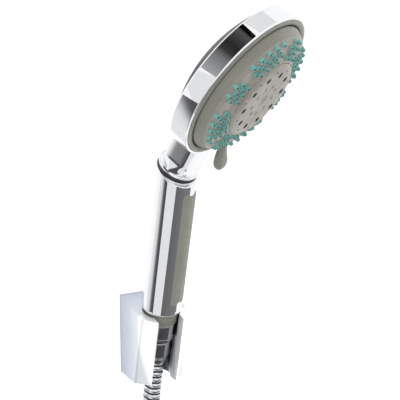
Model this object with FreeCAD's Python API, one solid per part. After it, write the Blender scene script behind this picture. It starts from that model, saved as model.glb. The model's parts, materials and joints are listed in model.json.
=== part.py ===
import FreeCAD, Part
import math
import os

# Handheld shower head on its wall bracket, with its hose. Millimetres.
#
# Row frame: the wall is the plane y = 0, the object stands off it towards -Y, +Z is up,
# +X is to the right of someone facing the wall. The origin is the middle of the bracket's
# wall face.
#
# Three working frames are used, and each has a function that carries a shape out of it:
#   socket frame   z along the bracket's leaning socket, origin on the handset's foot
#   handset frame  the socket frame turned about its z by SWIVEL, so -y is the handset's front
#   head frame     z along the spray direction, y towards 12 o'clock, origin in the middle of
#                  the head's front rim

V = FreeCAD.Vector

# ---- driving dimensions -------------------------------------------------------------------
# bracket
BRACKET_WIDTH = 39.5
BRACKET_HEIGHT = 62.0
BRACKET_CORNER_DEPTH = 34.0      # wall to the front corners, at mid height
BRACKET_LIP_DEPTH = 44.0         # wall to the front lips beside the slot, at mid height
BRACKET_TOP_SLOPE = 9.0          # degrees, the top face falls towards the front
SLOT_WIDTH = 20.0
SOCKET_TILT = 14.5               # degrees the socket leans away from the wall at its top
SOCKET_FOOT = V(0.0, -34.2, 34.7)
LINER_BORE = 14.0                # radius of the bore that holds the liner
LOWER_BORE = 12.4
LINER_DEPTH = 28.0
SCREW_SPACING = 28.0             # between the two wall screws
SCREW_CENTRE = 4.0               # height of the middle of the two wall screws
WALL_SCREW_HOLE = 2.3

# handset
SWIVEL = 28.0                    # degrees the handset is turned to the right in the socket
HANDLE_RADIUS = 14.7
HANDLE_WALL = 2.5
HANDLE_FOOT = -5.5               # lower end of the chrome handle
BEND_HEIGHT = 111.7              # where the handle's axis meets the neck's axis
HEAD_TILT = 20.0                 # degrees the neck leans forward from the handle
NECK_LENGTH = 89.5               # bend to the head's axis, along the neck
NECK_OFFSET = 17.0               # neck axis behind the head's front rim
NECK_RADIUS_LOW = 14.0
NECK_RADIUS_HIGH = 13.2
COLLAR_RADIUS = 15.3
GRIP_HALF_WIDTH = 7.6
GRIP_LOW = 3.0
GRIP_HIGH = 96.0
WATER_TUBE_RADIUS = 7.0
WATER_BORE = 5.5

# head
HEAD_RADIUS = 57.0
BAND_HEIGHT = 14.5
BAND_INNER = 55.3
GROOVE_RADIUS = 50.95            # inner edge of the fixed grey ring
PLATE_RADIUS = 50.3              # outer edge of the turning spray plate
DOME_HEIGHT = 16.0               # back of the head behind the band
INSERT_RADIUS = 29.45
MASSAGE_HOLES = 10
MASSAGE_HOLE_CIRCLE = 21.2
MASSAGE_HOLE_RADIUS = 2.15
MASSAGE_START = 20.0             # first massage jet, degrees from 6 o'clock
CLUSTERS = 8                     # nozzle clusters, wide and narrow in turn
CLUSTER_START = 20.0             # first wide cluster, degrees from 6 o'clock
CLUSTER_PITCH = 45.0
WINDOW_INNER = 30.3
WINDOW_OUTER = 46.8
WIDE_WINDOW = 23.2               # half angles of the two sorts of nozzle window, degrees
NARROW_WINDOW = 13.9
NOZZLE_ROWS = [44.2, 40.3, 36.4, 32.8]
NOZZLE_STEP = 9.6                # degrees between neighbours in a row
LEVER_REACH = 66.5

# hose
HOSE_RADIUS = 7.0
HOSE_START = -52.0               # height along the socket where the flexible hose begins
COIL_RADIUS = 70.0
COIL_TURNS = 3
COIL_PITCH = 14.5
COIL_CENTRE_HEIGHT = -158.0
COIL_BACK = -12.0                # centre of the coil's first turn, from the wall
TAIL_LENGTH = 48.0


# ---- helpers ------------------------------------------------------------------------------
def rounded_edges(points, radii, closed):
    """Straight runs through the points, each corner replaced by a tangent arc."""
    count = len(points)
    starts, ends, arcs = [], [], []
    for i, corner in enumerate(points):
        radius = radii[i]
        if radius == 0 or (not closed and i in (0, count - 1)):
            starts.append(corner)
            ends.append(corner)
            arcs.append(None)
            continue
        back = (points[i - 1] - corner).normalize()
        ahead = (points[(i + 1) % count] - corner).normalize()
        half_open = back.getAngle(ahead) / 2
        reach = radius / math.tan(half_open)
        middle = (back + ahead).normalize()
        centre = corner + middle * (radius / math.sin(half_open))
        starts.append(corner + back * reach)
        ends.append(corner + ahead * reach)
        arcs.append(Part.Arc(starts[i], centre - middle * radius, ends[i]).toShape())
    edges = []
    for i in range(count):
        if arcs[i]:
            edges.append(arcs[i])
        following = (i + 1) % count
        if following == 0 and not closed:
            break
        if (starts[following] - ends[i]).Length > 1e-6:
            edges.append(Part.LineSegment(ends[i], starts[following]).toShape())
    return edges


def outline_face(points, radii=None):
    """A flat face inside a closed outline whose corners may be rounded."""
    radii = radii or [0] * len(points)
    return Part.Face(Part.Wire(rounded_edges(points, radii, True)))


def turned(profile, radii=None):
    """A solid of revolution about Z from (radius, height) points."""
    face = outline_face([V(r, 0, z) for r, z in profile], radii)
    return face.revolve(V(0, 0, 0), V(0, 0, 1), 360)


def cylinder(radius, low, high, x=0.0, y=0.0):
    return Part.makeCylinder(radius, high - low, V(x, y, low))


def tube(outer, inner, low, high, x=0.0, y=0.0):
    return cylinder(outer, low, high, x, y).cut(cylinder(inner, low - 1, high + 1, x, y))


def cone(radius_low, radius_high, low, high):
    return Part.makeCone(radius_low, radius_high, high - low, V(0, 0, low))


def box(x0, x1, y0, y1, z0, z1):
    return Part.makeBox(x1 - x0, y1 - y0, z1 - z0, V(x0, y0, z0))


def polar(radius, degrees):
    """A point on a circle in the head frame, degrees counted from 6 o'clock."""
    angle = math.radians(degrees - 90)
    return V(radius * math.cos(angle), radius * math.sin(angle), 0)


def turned_by(shape, axis, degrees, centre=V(0, 0, 0)):
    copy = shape.copy()
    copy.rotate(centre, axis, degrees)
    return copy


def moved(shape, offset):
    copy = shape.copy()
    copy.translate(offset)
    return copy


def ring_of(shape, count, start=0.0, step=None):
    """Copies of a shape turned about Z, as one compound."""
    step = step or 360.0 / count
    return Part.makeCompound([turned_by(shape, V(0, 0, 1), start + step * i) for i in range(count)])


X, Y, Z = V(1, 0, 0), V(0, 1, 0), V(0, 0, 1)
SOCKET_AXIS = V(0, -math.sin(math.radians(SOCKET_TILT)), math.cos(math.radians(SOCKET_TILT)))
LEAN = math.tan(math.radians(SOCKET_TILT))
TOP_FALL = math.tan(math.radians(BRACKET_TOP_SLOPE))
NECK_ANGLE = math.radians(HEAD_TILT)
HEAD_CENTRE = V(
    0,
    -NECK_LENGTH * math.sin(NECK_ANGLE) - NECK_OFFSET * math.cos(NECK_ANGLE),
    BEND_HEIGHT + NECK_LENGTH * math.cos(NECK_ANGLE) - NECK_OFFSET * math.sin(NECK_ANGLE),
)


def from_socket(shape):
    return moved(turned_by(shape, X, SOCKET_TILT), SOCKET_FOOT)


def from_handset(shape):
    return from_socket(turned_by(shape, Z, SWIVEL))


def head_to_handset(shape):
    return moved(turned_by(shape, X, 90 + HEAD_TILT), HEAD_CENTRE)


def from_head(shape):
    return from_handset(head_to_handset(shape))


def single(shape):
    """The one solid of a shape that a boolean left inside a compound."""
    solids = shape.removeSplitter().Solids
    return solids[0] if len(solids) == 1 else Part.makeCompound(solids)


# ---- bracket ------------------------------------------------------------------------------
HALF_WIDTH = BRACKET_WIDTH / 2
TOP = BRACKET_HEIGHT / 2
BOTTOM = -BRACKET_HEIGHT / 2
PLATE_THICKNESS = 3.4
PLATE_HALF_WIDTH = 16.5
PLATE_LOW, PLATE_HIGH = -17.0, 23.0
LUG = (11.0, PLATE_HALF_WIDTH, -8.5, PLATE_LOW, -11.0)     # x0, x1, y front, z low, z high
GRUB_X, GRUB_Y, GRUB_RADIUS = 13.8, -5.8, 2.0
SCREW_HEIGHTS = (SCREW_CENTRE - SCREW_SPACING / 2, SCREW_CENTRE + SCREW_SPACING / 2)


def below_top(drop):
    """Everything under the bracket's sloping top face, lowered by a drop."""
    top = TOP - drop
    front = 100.0
    side = [V(-60, 20, top + 20 * TOP_FALL), V(-60, -front, top - front * TOP_FALL),
            V(-60, -front, -200), V(-60, 20, -200)]
    return outline_face(side).extrude(V(120, 0, 0))


def bracket_block():
    """The outer shape: a plan outline swept along the leaning socket, cut flat at the wall."""
    lip = SLOT_WIDTH / 2 - 0.5
    depth = 80.0
    plan = [(-HALF_WIDTH, depth), (-HALF_WIDTH, -BRACKET_CORNER_DEPTH), (-lip, -BRACKET_LIP_DEPTH),
            (lip, -BRACKET_LIP_DEPTH), (HALF_WIDTH, -BRACKET_CORNER_DEPTH), (HALF_WIDTH, depth)]
    face = outline_face([V(x, y, 0) for x, y in plan], [0, 4.0, 0.8, 0.8, 4.0, 0])
    reach = 60.0
    face.translate(V(0, reach * LEAN, -reach))
    block = face.extrude(V(0, -2 * reach * LEAN, 2 * reach))
    block = block.common(box(-60, 60, -90, 0, BOTTOM, 60))
    return block.common(below_top(0))


def wall_plate_shape(gap):
    """The wall plate grown by a gap, used for the plate and for the pocket that takes it."""
    x0, x1, front, low, high = LUG
    plate = box(-PLATE_HALF_WIDTH - gap, PLATE_HALF_WIDTH + gap, -PLATE_THICKNESS - gap, 0,
                PLATE_LOW - gap, PLATE_HIGH + gap)
    return plate.fuse(box(x0 - gap, x1 + gap, front - gap, 0, low - gap, high + gap))


def bracket_body():
    bore = cylinder(LINER_BORE, -LINER_DEPTH, 60)
    bore = bore.fuse(cylinder(LOWER_BORE, -120, -LINER_DEPTH + 1))
    bore = bore.fuse(box(-SLOT_WIDTH / 2, SLOT_WIDTH / 2, -60, 0, -120, 60))
    body = bracket_block().cut(from_socket(bore))
    body = body.cut(wall_plate_shape(0.1))
    for height in SCREW_HEIGHTS:
        body = body.cut(Part.makeCylinder(4.6, 7.5, V(0, -7.5, height), Y))
    return single(body.cut(cylinder(GRUB_RADIUS, BOTTOM - 1, PLATE_LOW + 1, GRUB_X, GRUB_Y)))


def wall_plate():
    plate = wall_plate_shape(0)
    for height in SCREW_HEIGHTS:
        plate = plate.cut(Part.makeCylinder(WALL_SCREW_HOLE, 20, V(0, -15, height), Y))
        face = V(0, -PLATE_THICKNESS, height)
        plate = plate.cut(Part.makeCone(WALL_SCREW_HOLE + 1.6, WALL_SCREW_HOLE, 1.6, face, Y))
    return single(plate.cut(cylinder(GRUB_RADIUS, PLATE_LOW - 1, PLATE_LOW + 4, GRUB_X, GRUB_Y)))


def grub_screw():
    screw = cylinder(GRUB_RADIUS, BOTTOM + 1.5, PLATE_LOW + 4, GRUB_X, GRUB_Y)
    socket = Part.makePolygon([V(GRUB_X, GRUB_Y, BOTTOM + 1.4) + polar(1.15, 60 * i)
                               for i in range(7)])
    return screw.cut(Part.Face(socket).extrude(V(0, 0, 2.6)))


CONE_TOP, CONE_FOOT = HANDLE_FOOT, -16.2       # the tail cone's ends, along the socket
CONE_TOP_RADIUS, CONE_FOOT_RADIUS = 12.8, 12.1


def socket_liner():
    """A split sleeve with the taper that the handset's tail cone sits in."""
    gap = 0.12
    outer = cylinder(LINER_BORE - 0.05, -LINER_DEPTH, 5)
    seat = cone(CONE_FOOT_RADIUS + gap, CONE_TOP_RADIUS + gap, CONE_FOOT, CONE_TOP)
    seat = seat.fuse(cylinder(CONE_TOP_RADIUS + gap, CONE_TOP, 10))
    seat = seat.fuse(cylinder(CONE_FOOT_RADIUS - 0.1, -LINER_DEPTH - 1, CONE_FOOT))
    liner = outer.cut(seat).cut(box(-SLOT_WIDTH / 2, SLOT_WIDTH / 2, -30, 0, -40, 10))
    return single(from_socket(liner).common(below_top(0.6)))


# ---- handle -------------------------------------------------------------------------------
HANDLE_BORE = HANDLE_RADIUS - HANDLE_WALL
COLLAR_LOW, COLLAR_HIGH = -4.0, 2.6            # the neck collar's ends, along the neck
NIPPLE_RADIUS = 10.45             # outside of the G 1/2 thread
NIPPLE_FOOT = -25.5


def along_neck(shape):
    """Carries a shape whose z runs up the neck from the bend into the handset frame."""
    return moved(turned_by(shape, X, HEAD_TILT), V(0, 0, BEND_HEIGHT))


def above_collar(drop):
    """The space above the plane where the collar meets the handle."""
    return along_neck(box(-80, 80, -80, 80, COLLAR_LOW - drop, 160))


def grip_prism(half_width, low, high, near, far):
    """A rounded upright strip in front of the handle, from a near to a far depth."""
    corner = half_width * 0.75
    points = [V(-half_width, -near, low), V(half_width, -near, low),
              V(half_width, -near, high), V(-half_width, -near, high)]
    return outline_face(points, [corner] * 4).extrude(V(0, near - far, 0))


def handle_shell():
    shell = cylinder(HANDLE_RADIUS, HANDLE_FOOT, BEND_HEIGHT + 30).cut(above_collar(0))
    bore = cylinder(HANDLE_BORE, HANDLE_FOOT - 1, BEND_HEIGHT + 30)
    recess = grip_prism(GRIP_HALF_WIDTH + 0.1, GRIP_LOW - 0.1, GRIP_HIGH + 0.1, 5, 40)
    recess = recess.cut(cylinder(HANDLE_RADIUS - 1.6, -20, 140))
    return single(shell.cut(bore).cut(recess))


def grip_insert():
    strip = tube(HANDLE_RADIUS + 0.25, HANDLE_RADIUS - 1.6, GRIP_LOW - 5, GRIP_HIGH + 5)
    return single(strip.common(grip_prism(GRIP_HALF_WIDTH, GRIP_LOW, GRIP_HIGH, 5, 40)))


def neck_collar():
    """A polished ring with two beads, square to the neck."""
    low, high, bead = COLLAR_LOW, COLLAR_HIGH, COLLAR_RADIUS
    waist = 14.3
    profile = [(HANDLE_BORE, low), (bead - 0.5, low), (bead, low + 0.8), (bead, low + 2.4),
               (waist, low + 3.0), (waist, low + 4.0), (bead - 0.5, low + 4.6),
               (bead - 0.5, high - 0.6), (bead - 1.0, high), (HANDLE_BORE, high)]
    return along_neck(turned(profile))


def tail_collar():
    """The plastic cone under the handle, with two fine grooves and a spigot into the shell."""
    cone_part = cone(CONE_FOOT_RADIUS, CONE_TOP_RADIUS, CONE_FOOT, CONE_TOP)
    spigot = cylinder(HANDLE_BORE - 0.05, CONE_TOP, CONE_TOP + 10)
    collar = cone_part.fuse(spigot).cut(cylinder(NIPPLE_RADIUS + 0.05, -40, 20))
    for height in (CONE_FOOT + 1.6, CONE_FOOT + 3.6):
        collar = collar.cut(tube(20, CONE_FOOT_RADIUS - 0.2, height, height + 0.5))
    return single(collar)


def inlet_nipple():
    body = tube(NIPPLE_RADIUS, WATER_TUBE_RADIUS + 0.05, NIPPLE_FOOT, CONE_TOP + 8)
    rib = turned([(NIPPLE_RADIUS - 0.8, 0), (NIPPLE_RADIUS, 0.3), (NIPPLE_RADIUS, 0.5),
                  (NIPPLE_RADIUS - 0.8, 0.8)])
    thread_cut = tube(NIPPLE_RADIUS + 1, NIPPLE_RADIUS - 0.8, NIPPLE_FOOT + 0.5, -17.2)
    ribs = [moved(rib, V(0, 0, NIPPLE_FOOT + 0.9 + 1.6 * i)) for i in range(5)]
    return single(body.cut(thread_cut).multiFuse(ribs))


def flow_regulator():
    disc = cylinder(WATER_TUBE_RADIUS, -15.0, -12.4)
    holes = [cylinder(0.9, -16, -12, 4.2 * math.cos(a), 4.2 * math.sin(a))
             for a in (math.radians(60 * i) for i in range(6))]
    return disc.cut(Part.makeCompound(holes))


def water_tube():
    """The waterway from the tail, round the bend, into the side of the distributor."""
    bend = V(0, 0, BEND_HEIGHT)

    def run(radius, low, high):
        upright = cylinder(radius, low, BEND_HEIGHT)
        return upright.fuse(Part.makeSphere(radius, bend)).fuse(along_neck(cylinder(radius, 0, high)))

    outer = run(WATER_TUBE_RADIUS, -12.0, NECK_LENGTH - 12.2)
    return single(outer.cut(run(WATER_BORE, -13.0, NECK_LENGTH - 11.0)))


# ---- head, fixed parts --------------------------------------------------------------------
RIM_BACK = -BAND_HEIGHT
SHELL_FRONT = -4.0
DISTRIBUTOR_BACK, DISTRIBUTOR_FRONT = -9.5, -3.4
SEAT_BACK, SEAT_RADIUS = -5.0, 51.3
CHAMBER_RADIUS, CHAMBER_BACK = 13.0, -26.0
SCREW_RADIUS = 2.5
HUB_TOP = 8.0
PORT_CIRCLE, PORT_RADIUS = 24.0, 4.5
DETENT_CIRCLE, DETENT_RADIUS = 38.0, 2.0
SEAL_CIRCLE = 44.0
FIXING_CIRCLE = 48.6


def dome(radius, rim_height, apex):
    """A filled cap: a flat front at the rim height and a spherical back."""
    rise = rim_height - apex
    sphere_radius = (radius ** 2 + rise ** 2) / (2 * rise)
    sphere = Part.makeSphere(sphere_radius, V(0, 0, apex + sphere_radius))
    return sphere.common(cylinder(radius, apex - 1, rim_height))


def neck_solid(radius_low, radius_high, start):
    reach = NECK_LENGTH - 32
    neck = cone(radius_low, radius_high, start, reach)
    to_head = moved(turned_by(neck, X, -90), V(0, -NECK_LENGTH, -NECK_OFFSET))
    return to_head


def head_shell():
    apex = RIM_BACK - DOME_HEIGHT
    outer = dome(BAND_INNER, RIM_BACK, apex).fuse(cylinder(BAND_INNER, RIM_BACK, SHELL_FRONT))
    neck = neck_solid(NECK_RADIUS_LOW, NECK_RADIUS_HIGH, COLLAR_HIGH)
    neck = neck.cut(cylinder(HEAD_RADIUS + 0.35, RIM_BACK - 0.35, 10))
    shell = outer.fuse(neck)
    inside = dome(SEAT_RADIUS + 0.2, RIM_BACK + 0.5, apex + 2.4)
    inside = inside.fuse(cylinder(SEAT_RADIUS + 0.2, RIM_BACK, 5))
    passage = neck_solid(NECK_RADIUS_LOW - 3, NECK_RADIUS_HIGH - 3, COLLAR_HIGH - 1)
    shell = shell.cut(inside).cut(passage).cut(waterway())
    place = polar(FIXING_CIRCLE, 60)
    screw_hole = cylinder(1.27, -16.2, 0, place.x, place.y)
    return single(shell.fuse(ring_of(fixing_post(), 3)).cut(ring_of(screw_hole, 3)))


def waterway():
    """The round clearance for the water tube where it enters the head behind 6 o'clock."""
    start = V(0, -HEAD_RADIUS - 5, -NECK_OFFSET)
    return Part.makeCylinder(WATER_TUBE_RADIUS + 0.1, HEAD_RADIUS + 5 - CHAMBER_RADIUS, start, Y)


def fixing_post():
    """One of three posts inside the shell that the distributor is screwed to."""
    place = polar(FIXING_CIRCLE, 60)
    post = cylinder(3.0, -20.0, DISTRIBUTOR_BACK, place.x, place.y)
    return post.common(dome(BAND_INNER - 1, RIM_BACK, RIM_BACK - DOME_HEIGHT + 1).fuse(
        cylinder(BAND_INNER - 1, RIM_BACK, 0)))


def distributor_screws():
    place = polar(FIXING_CIRCLE, 60)
    screw = cylinder(1.25, -16.0, -6.9, place.x, place.y).fuse(
        cylinder(2.3, -6.9, -5.1, place.x, place.y))
    return ring_of(screw, 3)


def head_band():
    """The polished band round the head, notched inside the neck for the water tube."""
    band = turned([(BAND_INNER, RIM_BACK), (HEAD_RADIUS, RIM_BACK), (HEAD_RADIUS, 0),
                   (BAND_INNER, 0)], [0, 1.4, 1.1, 0])
    return single(band.cut(waterway()))


def bezel_ring():
    return turned([(GROOVE_RADIUS, SHELL_FRONT), (BAND_INNER, SHELL_FRONT), (BAND_INNER, 0.3),
                   (52.4, 0.9), (GROOVE_RADIUS, 0.2)])


def distributor():
    """The fixed manifold: flange, raised valve seat, and an inlet chamber on its back."""
    disc = cylinder(SEAT_RADIUS, DISTRIBUTOR_BACK, SEAT_BACK)
    disc = disc.fuse(cylinder(47.0, SEAT_BACK, DISTRIBUTOR_FRONT))
    chamber = cylinder(CHAMBER_RADIUS, CHAMBER_BACK, DISTRIBUTOR_BACK)
    disc = disc.fuse(chamber)
    disc = disc.cut(tube(10.8, 5.5, CHAMBER_BACK + 2, DISTRIBUTOR_BACK + 2))
    side_port = Part.makeCylinder(WATER_TUBE_RADIUS + 0.05, 20, V(0, -CHAMBER_RADIUS - 5, -NECK_OFFSET), Y)
    disc = disc.cut(side_port.cut(cylinder(5.5, -40, 0)))
    disc = disc.cut(cylinder(SCREW_RADIUS, -22, 5))
    for degrees in (90, 270):
        place = polar(PORT_CIRCLE, degrees)
        disc = disc.cut(cylinder(PORT_RADIUS, -20, 5, place.x, place.y))
    disc = disc.cut(tube(SEAL_CIRCLE + 1.1, SEAL_CIRCLE - 1.1, DISTRIBUTOR_FRONT - 1.9, 5))
    place = polar(DETENT_CIRCLE, 180)
    disc = disc.cut(cylinder(DETENT_RADIUS + 0.06, -8.6, 5, place.x, place.y))
    fixing = polar(FIXING_CIRCLE, 60)
    hole = cylinder(1.35, -20, 5, fixing.x, fixing.y)
    recess = cylinder(2.5, -6.9, 5, fixing.x, fixing.y)
    return single(disc.cut(ring_of(hole.fuse(recess), 3)))


def head_o_ring():
    section = 0.95
    return Part.makeTorus(SEAL_CIRCLE, section, V(0, 0, DISTRIBUTOR_FRONT - 0.92))


def port_seals():
    seals = []
    for degrees in (90, 270):
        place = polar(PORT_CIRCLE, degrees)
        seals.append(tube(PORT_RADIUS - 0.05, 2.8, -9.0, -3.35, place.x, place.y))
    return Part.makeCompound(seals)


def detent_pin():
    place = polar(DETENT_CIRCLE, 180)
    body = cylinder(DETENT_RADIUS, -6.6, -4.6, place.x, place.y)
    tip = Part.makeSphere(DETENT_RADIUS, V(place.x, place.y, -5.35))
    tip = tip.common(cylinder(DETENT_RADIUS, -4.6, -3, place.x, place.y))
    return single(body.fuse(tip))


def detent_spring():
    """A short wire coil between the pocket's floor and the pin."""
    place = polar(DETENT_CIRCLE, 180)
    wire, mean = 0.2, 1.5
    rings = [Part.makeTorus(mean, wire, V(place.x, place.y, -8.35 + 0.37 * i)) for i in range(4)]
    return Part.makeCompound(rings)


def centre_screw():
    head_low = HUB_TOP + 0.25
    head = cylinder(4.0, head_low, head_low + 2.2).fuse(cylinder(SCREW_RADIUS, -20, head_low))
    slots = box(-2.4, 2.4, -0.45, 0.45, head_low + 1.2, head_low + 3)
    return single(head.cut(slots).cut(turned_by(slots, Z, 90)))


# ---- head, turning parts ------------------------------------------------------------------
PLATE_OUTSIDE = [(PLATE_RADIUS, -4.0), (PLATE_RADIUS, 1.0), (47.2, 6.9), (43.5, 8.9)]
FACE_EDGE = 10.5                 # height of the face where the massage insert begins
INSERT_SEAT = FACE_EDGE - 1.3    # ledge the insert rests on
INSERT_TOP = 14.9                # height of the insert at its ring of jets
INSERT_MIDDLE = 14.3             # height of the insert beside the centre cap


def face_outline(drop, inner):
    """Outside of the spray plate, sunk by a drop, closed down the middle at a radius."""
    points = [(r - drop, z - drop) for r, z in PLATE_OUTSIDE[1:]]
    return [(PLATE_RADIUS - drop, -4.0)] + points + [(INSERT_RADIUS + 0.05, FACE_EDGE - drop),
                                                    (inner, FACE_EDGE - drop), (inner, -4.0)]


def sector(half_angle, inner, outer, low, high):
    """A fan-shaped prism centred on 6 o'clock."""
    a, b = polar(inner, -half_angle), polar(inner, half_angle)
    c, d = polar(outer, half_angle), polar(outer, -half_angle)
    edges = [Part.Arc(a, polar(inner, 0), b).toShape(), Part.LineSegment(b, c).toShape(),
             Part.Arc(c, polar(outer, 0), d).toShape(), Part.LineSegment(d, a).toShape()]
    fan = Part.Face(Part.Wire(edges))
    fan.translate(V(0, 0, low))
    return fan.extrude(V(0, 0, high - low))


def cluster_widths():
    """Whether each cluster is a wide one, with the degrees it is turned by."""
    return [(i % 2 == 0, CLUSTER_START + CLUSTER_PITCH * i) for i in range(CLUSTERS)]


def windows(shrink):
    """The nozzle windows as a list of prisms."""
    fans = []
    for wide, degrees in cluster_widths():
        half = (WIDE_WINDOW if wide else NARROW_WINDOW) - shrink
        fan = sector(half, WINDOW_INNER + shrink / 2, WINDOW_OUTER - shrink / 2, 2, 16)
        fans.append(turned_by(fan, Z, degrees))
    return fans


def spray_plate():
    outer = turned(face_outline(0, 27.0))
    inside = turned([(0, -5), (48.3, -5), (48.3, 0.4), (45.6, 5.1), (40.5, 8.2), (0, 8.2)])
    plate = outer.cut(inside)
    plate = plate.cut(cylinder(INSERT_RADIUS + 0.05, INSERT_SEAT, 20))
    return single(plate.cut(Part.makeCompound(windows(0))))


def nozzle(radius, degrees, height):
    """One short rubber nozzle that leans outward a little."""
    place = polar(radius, degrees)
    direction = (Z + polar(1, degrees) * 0.1).normalize()
    base = V(place.x, place.y, height - 1.5)
    return Part.makeCone(2.15, 1.05, 3.5, base, direction)


def face_height(radius):
    """Height of the spray plate's outer surface at a radius."""
    profile = PLATE_OUTSIDE[1:] + [(INSERT_RADIUS, FACE_EDGE)]
    for (r0, z0), (r1, z1) in zip(profile, profile[1:]):
        if r1 <= radius <= r0:
            return z0 + (z1 - z0) * (r0 - radius) / (r0 - r1)
    return FACE_EDGE


def nozzle_places(wide):
    """Places of one cluster's nozzles, staggered row by row, as (radius, degrees)."""
    places = []
    for row, radius in enumerate(NOZZLE_ROWS):
        count = 5 - row % 2 if wide else 2 + row % 2
        for i in range(count):
            places.append((radius, NOZZLE_STEP * (i - (count - 1) / 2)))
    return places


def nozzle_mat():
    """The rubber mat behind the face, with a pad of nozzles in every window."""
    sheet = turned([(29.8, 8.15), (40.4, 8.15), (45.35, 5.1), (45.35, 3.3), (39.9, 6.6),
                    (29.8, 6.6)])
    body = turned(face_outline(0.3, 27.0)).cut(turned([(0, -5), (46.4, -5), (45.4, 3.3),
                                                       (39.9, 6.6), (0, 6.6)]))
    fans = [fan.common(body) for fan in windows(0.15)]
    cones = []
    for wide, turn in cluster_widths():
        for radius, degrees in nozzle_places(wide):
            cones.append(nozzle(radius, degrees + turn, face_height(radius)))
    return single(sheet.multiFuse(fans + cones))


def massage_insert():
    """The raised disc in the middle of the face, with its ring of massage jets."""
    disc = turned([(4.4, INSERT_MIDDLE), (22.5, INSERT_TOP), (27.6, INSERT_TOP - 0.7),
                   (INSERT_RADIUS, INSERT_TOP - 2.2), (INSERT_RADIUS, INSERT_SEAT + 0.1),
                   (26.0, INSERT_SEAT + 0.1), (26.0, INSERT_MIDDLE - 2.1), (4.4, INSERT_MIDDLE - 2.1)])
    jet = cylinder(MASSAGE_HOLE_RADIUS, 0, 20, *polar(MASSAGE_HOLE_CIRCLE, MASSAGE_START)[:2])
    fine = cylinder(0.8, 0, 20, *polar(25.0, MASSAGE_START - 18)[:2])
    dimple = Part.makeSphere(2.6, polar(11.4, 0) + V(0, 0, INSERT_MIDDLE + 2.1))
    for tool in (ring_of(jet, MASSAGE_HOLES), ring_of(fine, 10), ring_of(dimple, 9)):
        disc = disc.cut(tool)
    return single(disc)


def centre_cap():
    cap = cylinder(4.35, INSERT_MIDDLE - 2.0, INSERT_MIDDLE)
    return cap.cut(Part.makeSphere(9.0, V(0, 0, INSERT_MIDDLE + 8.2)))


def channel_plate():
    """The turning valve disc that closes the back of the spray plate."""
    disc = cylinder(48.2, -3.0, 0.3).fuse(cylinder(7.0, 0, HUB_TOP))
    disc = disc.cut(cylinder(SCREW_RADIUS + 0.1, -5, 12))
    outer_port = cylinder(2.6, -5, 2, *polar(PORT_CIRCLE, 18)[:2])
    inner_port = cylinder(1.5, -5, 2, *polar(13.0, 0)[:2])
    outlet = cylinder(2.0, -5, 2, *polar(34.0, 0)[:2])
    notch = Part.makeSphere(1.6, polar(DETENT_CIRCLE, 180 - 72) + V(0, 0, -4.2))
    for tool in (ring_of(outer_port, 10), ring_of(inner_port, 6), ring_of(outlet, 5)):
        disc = disc.cut(tool)
    return single(disc.cut(ring_of(notch, 5, 0, 36)))


def pivot_washer():
    return tube(5.0, SCREW_RADIUS + 0.1, HUB_TOP, HUB_TOP + 0.2)


def turbine():
    """The rotor that interrupts the massage jets."""
    hub = tube(9.0, 7.25, 1.2, 6.8)
    vane = box(8.5, 19.0, -0.6, 0.6, 1.6, 6.2)
    shutter = sector(60, 9.5, 19.0, 6.2, 7.2)
    vanes = [turned_by(vane, Z, 45 * i) for i in range(8)]
    return single(hub.multiFuse(vanes + [shutter]).cut(cylinder(7.25, 0, 9)))


def mode_lever():
    """A drop-shaped paddle standing out from the spray plate at 6 o'clock."""
    tip_radius = 6.6
    tip = -LEVER_REACH + tip_radius
    root, half_root = -44.0, 3.1
    slope = math.asin((tip_radius - half_root) / (root - tip))
    side = V(math.cos(slope) * tip_radius, tip + math.sin(slope) * tip_radius, 0)
    edges = [Part.LineSegment(V(half_root, root, 0), side).toShape(),
             Part.Arc(side, V(0, -LEVER_REACH, 0), V(-side.x, side.y, 0)).toShape(),
             Part.LineSegment(V(-side.x, side.y, 0), V(-half_root, root, 0)).toShape(),
             Part.LineSegment(V(-half_root, root, 0), V(half_root, root, 0)).toShape()]
    drop = Part.Face(Part.Wire(edges)).extrude(V(0, 0, 20))
    flank = [V(-20, -42, 2.2), V(-20, -50.5, 2.2), V(-20, -68, 7.8), V(-20, -68, 14.4),
             V(-20, -62, 13.4), V(-20, -50, 8.4), V(-20, -42, 7.8)]
    lever = drop.common(outline_face(flank, [0, 6, 0, 0, 5, 6, 0]).extrude(V(40, 0, 0)))
    lever = lever.cut(cylinder(WINDOW_OUTER, 0, 20))
    return single(lever.cut(turned(face_outline(0, 0))))


# ---- hose fittings ------------------------------------------------------------------------
NUT_TOP, NUT_FOOT = -16.4, -31.0
FLANGE_RADIUS = 9.7


def hose_nut_top():
    nut = cone(11.5, 11.75, NUT_FOOT, NUT_TOP)
    nut = nut.cut(cylinder(NIPPLE_RADIUS + 0.1, NUT_FOOT + 1.6, 0))
    return single(nut.cut(cylinder(8.3, -40, 0)))


def hose_washer(top):
    return tube(FLANGE_RADIUS + 0.3, 5.0, top - 2.0, top)


def hose_nipple(top):
    """The turned stem with its flange; its foot is inside the ferrule."""
    stem = [(4.0, top), (FLANGE_RADIUS, top), (FLANGE_RADIUS, top - 1.5), (8.0, top - 1.8),
            (8.0, top - 5.4), (5.2, top - 5.4), (5.2, top - 20.0), (4.0, top - 20.0)]
    return turned(stem)


def hose_ferrule(top):
    """The crimped sleeve between the stem and the flexible hose."""
    return turned([(5.2, top), (9.4, top), (9.9, top - 0.6), (9.9, top - 12.6), (8.3, top - 16.0),
                   (8.3, top - 18.6), (7.9, top - 19.0), (5.2, top - 19.0)])


NIPPLE_TOP = NIPPLE_FOOT - 2.1
FERRULE_TOP = -33.0


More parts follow.
